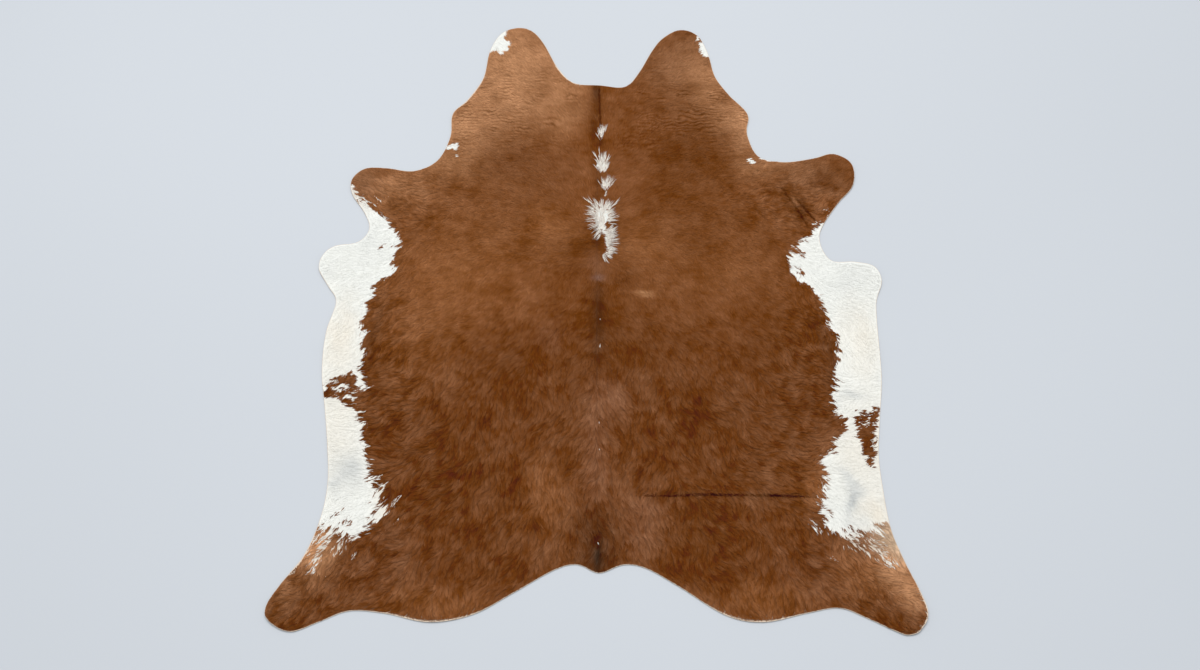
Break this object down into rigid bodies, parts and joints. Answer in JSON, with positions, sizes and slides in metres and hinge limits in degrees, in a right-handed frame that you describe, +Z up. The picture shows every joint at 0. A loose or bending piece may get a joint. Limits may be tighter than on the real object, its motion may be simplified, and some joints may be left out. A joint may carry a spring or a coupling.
{
  "type": "cowhide rug",
  "caption": "Flat hair-on cowhide rug in the natural shape of the hide, with neck, legs and flanks, lying hair side up on a floor.",
  "frame": {"origin": "middle of the hide's bounding box, on the floor that it lies on", "axes": "+Y along the spine towards the neck, +X to the right seen from above with the neck away, +Z up out of the hair side"},
  "size_m": [1.85, 2.15, 0.0145],
  "materials": {
    "hair_on_hide": "short glossy hair lying flat, reddish brown with white belly edges and a white star on the spine",
    "leather_back": "napped suede, pale grey-beige, on the flesh side and the cut edge"
  },
  "bodies": {
    "root": {"hide": "hair_on_hide"}
  },
  "joints": []
}
